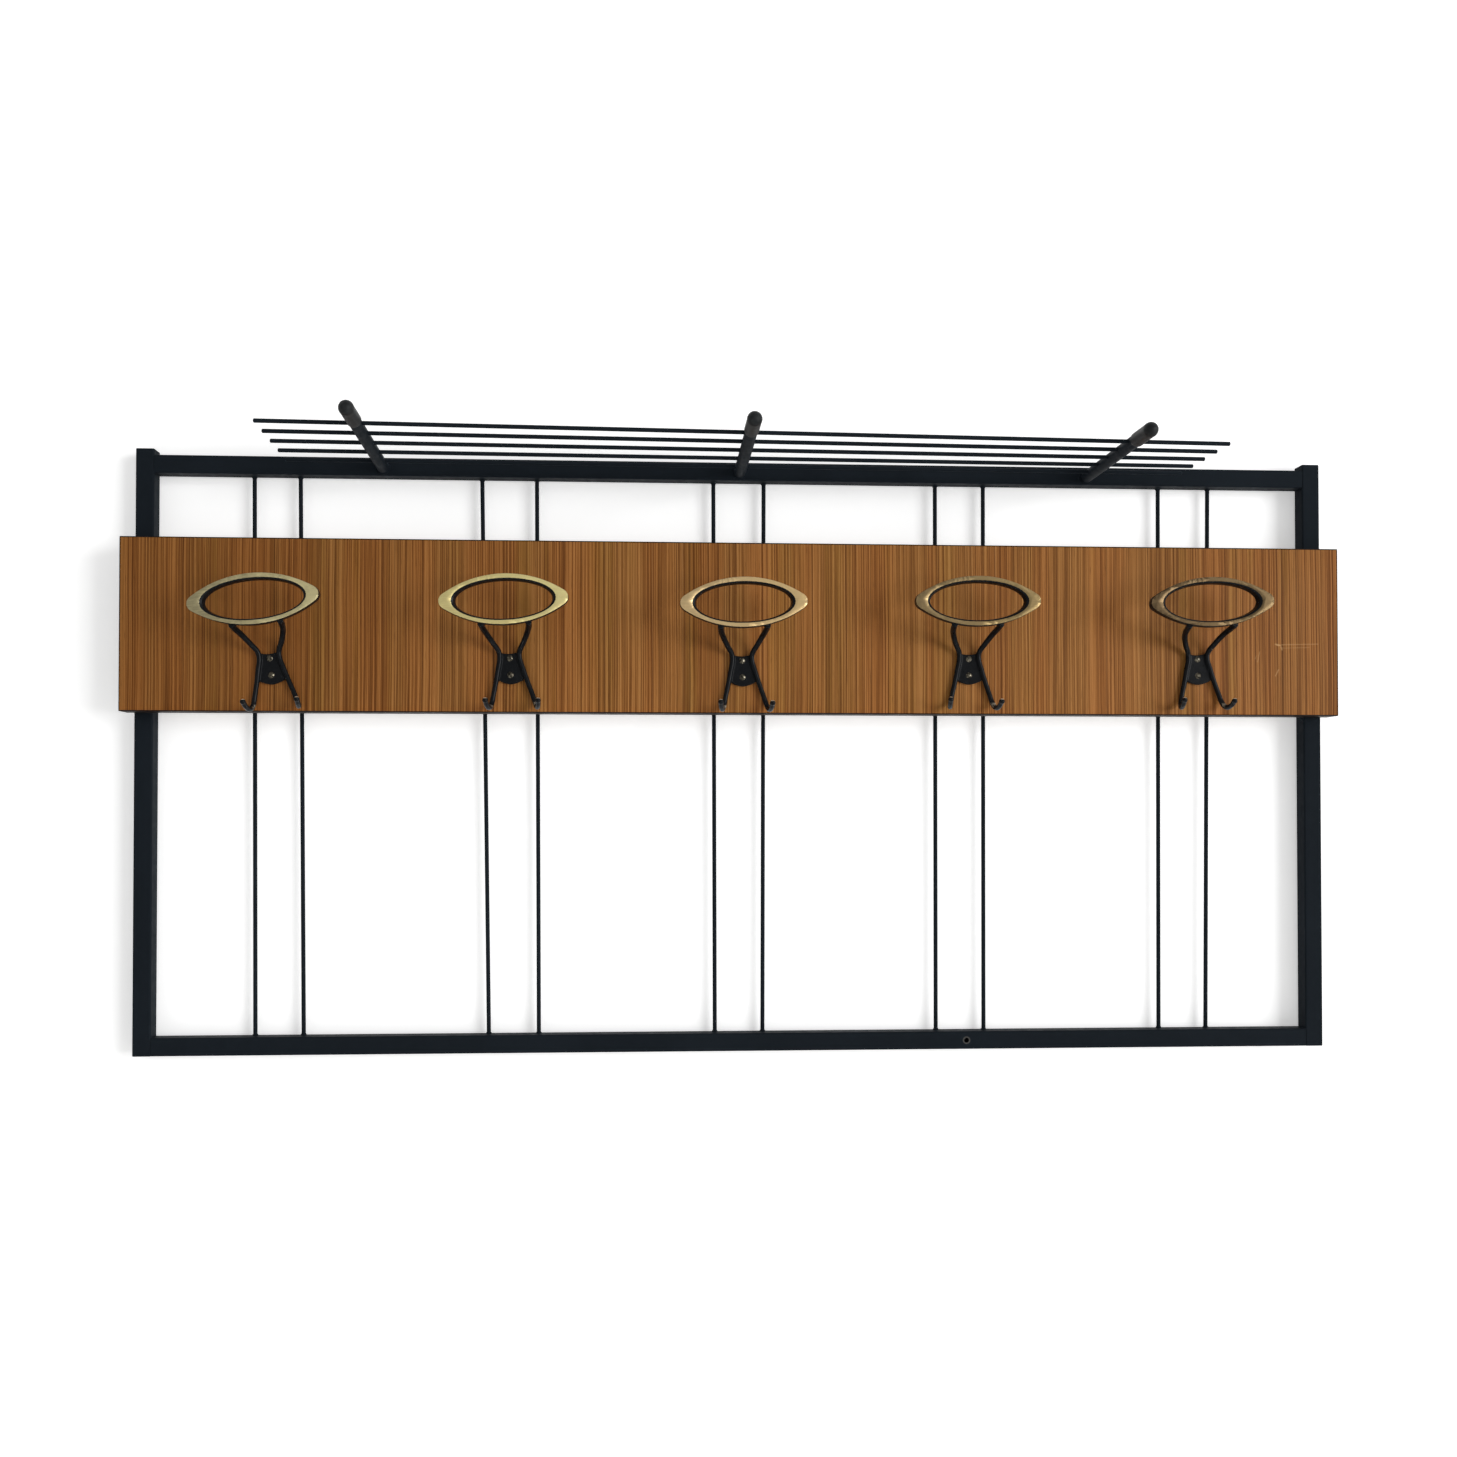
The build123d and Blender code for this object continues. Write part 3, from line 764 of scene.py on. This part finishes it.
def ring_into(bm, hooks):
    """Pointed oval with a hole that narrows towards the back."""
    face = -hooks.ring_face
    back = face + hooks.ring_depth
    rows = []
    for k in range(RING_STEPS):
        t = 2 * math.pi * k / RING_STEPS
        angle = math.atan2(hooks.ring_height * math.sin(t), hooks.ring_width * math.cos(t))
        reach = oval_reach(angle, hooks.ring_width, hooks.ring_height, RING_TIP)
        c, s = math.cos(angle), math.sin(angle)
        hole, mid, small = (
            1 / math.sqrt((c / wide) ** 2 + (s / tall) ** 2)
            for wide, tall in (HOLE_FACE, HOLE_STEP, HOLE_BACK)
        )
        chamfer = CHAMFER[0] + CHAMFER[1] * max(0.0, -s) ** 0.5
        row = []
        section = (
            (reach, back), (reach, face + CHAMFER_DEPTH), (reach - chamfer, face),
            (hole, face), (mid, face + STEP_DEPTH), (small, back),
        )
        for radius, y in section:
            row.append(bm.verts.new((c * radius, y, RING_MIDDLE + s * radius)))
        rows.append(row)
    for a, b in zip(rows, rows[1:] + rows[:1]):
        for m in range(len(a)):
            n = (m + 1) % len(a)
            bm.faces.new((a[m], a[n], b[n], b[m]))


def plate_into(bm):
    """Shield plate between the side bars."""
    low = [bm.verts.new((x * MM, 0.0, z * MM)) for x, z in PLATE_OUTLINE]
    high = [bm.verts.new((x * MM, -PLATE_DEPTH, z * MM)) for x, z in PLATE_OUTLINE]
    bm.faces.new(low)
    bm.faces.new(list(reversed(high)))
    for k in range(len(low)):
        m = (k + 1) % len(low)
        bm.faces.new((low[k], high[k], high[m], low[m]))


def casting_mesh(hooks):
    """One casting: bars, plate and ring run together with soft inner corners."""
    bm = bmesh.new()
    plate_into(bm)
    ring_into(bm, hooks)
    for side in (-1, 1):
        bar, tip = bar_mesh(side, hooks.bar)
        bm.from_mesh(bar)
        bpy.data.meshes.remove(bar)
        ball = bmesh.ops.create_uvsphere(
            bm, u_segments=20, v_segments=12, radius=hooks.bar + TIP_SWELL
        )
        bmesh.ops.translate(bm, vec=tip, verts=ball["verts"])
    bmesh.ops.recalc_face_normals(bm, faces=bm.faces)
    mesh = bpy.data.meshes.new("casting")
    bm.to_mesh(mesh)
    bm.free()
    raw = bpy.data.objects.new("casting_raw", mesh)
    bpy.context.scene.collection.objects.link(raw)
    skin = raw.modifiers.new("skin", "REMESH")
    skin.mode = "VOXEL"
    skin.voxel_size = hooks.detail
    flow = raw.modifiers.new("flow", "SMOOTH")
    flow.factor = 0.5
    flow.iterations = 4
    graph = bpy.context.evaluated_depsgraph_get()
    cast = bpy.data.meshes.new_from_object(raw.evaluated_get(graph))
    bpy.data.objects.remove(raw)
    face = -hooks.ring_face
    for v in cast.vertices:
        if v.co.y < face + FACE_SNAP:
            v.co.y = face
        if v.co.y > -BACK_SNAP:
            v.co.y = 0.0
    thin = bpy.data.objects.new("casting_thin", cast)
    bpy.context.scene.collection.objects.link(thin)
    fewer = thin.modifiers.new("fewer", "DECIMATE")
    fewer.ratio = 0.42
    graph = bpy.context.evaluated_depsgraph_get()
    done = bpy.data.meshes.new_from_object(thin.evaluated_get(graph))
    bpy.data.objects.remove(thin)
    smooth_by_angle(done, 50)
    done.name = "hook_casting"
    return done


# --- operators ---

class RACK_OT_frame(bpy.types.Operator):
    """Enamel the posts, rails, caps and upright rods, and lay their weld beads"""
    bl_idname = "rack.frame"
    bl_label = "Frame"

    def execute(self, context):
        paint = context.scene.rack_paint
        black = enamel("black_enamel", paint)
        holed = enamel("black_enamel_rail", paint, RAIL_HOLE)
        nodes = frame["nodes"]
        for name, obj in nodes.items():
            if "post" in name or name == "board_tab" or name.startswith("grille_rod"):
                coat(obj, black)
        coat(nodes["top_rail"], black)
        coat(nodes["bottom_rail"], holed)
        bm = bmesh.new()
        seed = context.scene.rack_stage.seed
        for name in sorted(nodes):
            if not name.startswith("grille_rod"):
                continue
            ends = sorted({round(v.co.z, 5) for v in nodes[name].data.vertices})
            for z, up in ((ends[0], 1), (ends[-1], -1)):
                ring = [v.co for v in nodes[name].data.vertices if abs(v.co.z - z) < 0.0005]
                x = (min(c.x for c in ring) + max(c.x for c in ring)) / 2
                y = (min(c.y for c in ring) + max(c.y for c in ring)) / 2
                seed += 1
                turned(bm, ROD_BEAD, Vector((x, y, z)), Vector((0, 0, up)), 18, 0.0004, seed)
        belongs(to_object("rod_weld_beads", bm, black, 60), "black_paint")
        return {"FINISHED"}


class RACK_OT_board(bpy.types.Operator):
    """Face, back and edge the board"""
    bl_idname = "rack.board"
    bl_label = "Board"

    def execute(self, context):
        board = context.scene.rack_board
        nodes = frame["nodes"]
        strip = edging_strip(board)
        low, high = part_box("board_face_laminate")
        belongs(softened_block("board_face", low, high, FACE_SOFTENING, teak_laminate(board)),
                "teak_laminate", "board_face_laminate")
        for place in ("top", "bottom", "left", "right"):
            name = f"board_edge_{place}"
            low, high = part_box(name)
            edging = softened_block(f"edging_{place}", low, high, board.softening, strip)
            belongs(edging, "dark_edging", name)
        coat(nodes["board_back_laminate"], backing_sheet())
        coat(nodes["board_core"], chipboard())
        coat(nodes["board_screws"], zinc())
        return {"FINISHED"}


class RACK_OT_hooks(bpy.types.Operator):
    """Cast the five hooks and hang them on the board"""
    bl_idname = "rack.hooks"
    bl_label = "Hooks"

    def execute(self, context):
        hooks = context.scene.rack_hooks
        cast = casting_mesh(hooks)
        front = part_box("board_face_laminate")[0][1]
        places = zip(HOOK_X, HOOK_Z, HOOK_TURN, HOOK_TONES_AND_REFLECTIONS)
        for k, (x, z, turn, tone) in enumerate(places, start=1):
            obj = link(f"cast_hook_{k}", cast.copy(), casting_finish(k, hooks, *tone))
            obj.matrix_world = Matrix.Translation((x, front, z - HANG_HEIGHT)) @ Euler(
                (0.0, math.radians(turn), 0.0)
            ).to_matrix().to_4x4()
            belongs(obj, "hook_casting", f"hook_{k}")
        return {"FINISHED"}


class RACK_OT_screws(bpy.types.Operator):
    """Finish the slotted screws that hold the hooks"""
    bl_idname = "rack.screws"
    bl_label = "Hook screws"

    def execute(self, context):
        brass = screw_brass()
        for k in range(1, 6):
            coat(frame["nodes"][f"hook_screws_{k}"], brass)
        return {"FINISHED"}


class RACK_OT_shelf(bpy.types.Operator):
    """Enamel the hat shelf's arms and rods and push on the ball-ended caps"""
    bl_idname = "rack.shelf"
    bl_label = "Hat shelf"

    def execute(self, context):
        paint = context.scene.rack_paint
        black = enamel("shelf_enamel", paint)
        plastic = cap_plastic()
        for k in range(1, 6):
            coat(frame["nodes"][f"shelf_rod_{k}"], black)
        bm = bmesh.new()
        for k, (place, tilt) in enumerate(ARM_TILT):
            node = f"shelf_arm_cap_{place}"
            coat(frame["nodes"][f"shelf_arm_{place}"], black)
            low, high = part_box(node)
            lean = math.radians(tilt)
            out = Vector((0.0, -math.cos(lean), math.sin(lean)))
            middle = Vector(((low[0] + high[0]) / 2, low[1] + BALL, 0.0))
            root = Vector((middle.x, -POST_DEPTH, -HANG_HEIGHT + ARM_HEIGHT))
            reach = (middle.y - root.y) / out.y
            middle = root + out * reach
            cap = bmesh.new()
            profile = list(CAP_SLEEVE)
            for step in range(BALL_STEPS):
                a = math.pi / 2 * step / BALL_STEPS
                profile.append((BALL * math.sin(a), BALL * math.cos(a)))
            profile.append((BALL, 0.0))
            turned(cap, profile, middle, out, 48)
            belongs(to_object(f"ball_cap_{place}", cap, plastic, 30), "black_plastic", node)
            turned(bm, ARM_BEAD, root, out, 36, 0.0008, 40 + k)
        belongs(to_object("arm_weld_beads", bm, black, 60), "black_paint")
        return {"FINISHED"}


class RACK_OT_stage(bpy.types.Operator):
    """Set up the wall, floor, soft light and camera"""
    bl_idname = "rack.stage"
    bl_label = "Stage"

    def execute(self, context):
        scene = context.scene
        look = scene.rack_stage
        white = plain_stage("stage_wall", (0.93, 0.93, 0.93), 0.9, WALL_LIFT)
        pale = plain_stage("stage_floor", (0.90, 0.90, 0.89), 0.7)

        def sheet(name, corners, material):
            mesh = bpy.data.meshes.new(name)
            mesh.from_pydata(corners, [], [(0, 1, 2, 3)])
            obj = link(name, mesh, material)

        gap = look.wall_gap
        floor = -HANG_HEIGHT - FLOOR_DROP
        left, right, near = -WALL_REACH, WALL_REACH, -WALL_REACH
        back_left, back_right = (left, gap, floor), (right, gap, floor)
        sheet("stage_wall", [back_left, back_right, (right, gap, WALL_TOP), (left, gap, WALL_TOP)],
              white)
        sheet("stage_floor", [(left, near, floor), (right, near, floor), back_right, back_left],
              pale)

        def soft_box(name, place, aim, width, height, power):
            light = bpy.data.lights.new(name, "AREA")
            light.shape = "RECTANGLE"
            light.size = width
            light.size_y = height
            light.energy = power
            obj = bpy.data.objects.new(name, light)
            obj.location = place
            obj.rotation_euler = (Vector(aim) - Vector(place)).to_track_quat("-Z", "Y").to_euler()
            scene.collection.objects.link(obj)

        soft_box("key_light", KEY_PLACE, KEY_AIM, *KEY_SIZE, look.key_power)

        world = bpy.data.worlds.new("room")
        world.use_nodes = True
        sky = world.node_tree.nodes["Background"]
        sky.inputs["Color"].default_value = (1.0, 1.0, 1.0, 1.0)
        sky.inputs["Strength"].default_value = look.fill
        scene.world = world
        scene.view_settings.view_transform = "Standard"

        eye = bpy.data.cameras.new("camera")
        eye.sensor_width = 36.0
        eye.lens = EYE_LENS
        eye.shift_x, eye.shift_y = EYE_SHIFT
        eye.clip_end = 50.0
        obj = bpy.data.objects.new("camera", eye)
        obj.location = EYE_PLACE
        obj.rotation_euler = [math.radians(turn) for turn in EYE_TURN]
        scene.collection.objects.link(obj)
        scene.camera = obj
        return {"FINISHED"}


class RACK_PT_panel(bpy.types.Panel):
    """Steps and settings of the hook rack"""
    bl_idname = "RACK_PT_panel"
    bl_label = "Wall Hook Rack"
    bl_space_type = "VIEW_3D"
    bl_region_type = "UI"
    bl_category = "Hook Rack"

    def draw(self, context):
        column = self.layout.column(align=True)
        for step in STEPS:
            column.operator(step.bl_idname)
        for name, group in GROUPS:
            box = self.layout.box()
            for prop in group.__annotations__:
                box.prop(getattr(context.scene, name), prop)


STEPS = (RACK_OT_frame, RACK_OT_board, RACK_OT_hooks, RACK_OT_screws, RACK_OT_shelf, RACK_OT_stage)


def register():
    for name, group in GROUPS:
        bpy.utils.register_class(group)
        setattr(bpy.types.Scene, name, PointerProperty(type=group))
    for step in STEPS:
        bpy.utils.register_class(step)
    bpy.utils.register_class(RACK_PT_panel)


def unregister():
    bpy.utils.unregister_class(RACK_PT_panel)
    for step in reversed(STEPS):
        bpy.utils.unregister_class(step)
    for name, group in reversed(GROUPS):
        delattr(bpy.types.Scene, name)
        bpy.utils.unregister_class(group)


def main():
    register()
    bpy.ops.rack.frame()
    bpy.ops.rack.board()
    bpy.ops.rack.hooks()
    bpy.ops.rack.screws()
    bpy.ops.rack.shelf()
    bpy.ops.rack.stage()


if __name__ == "__main__":
    main()
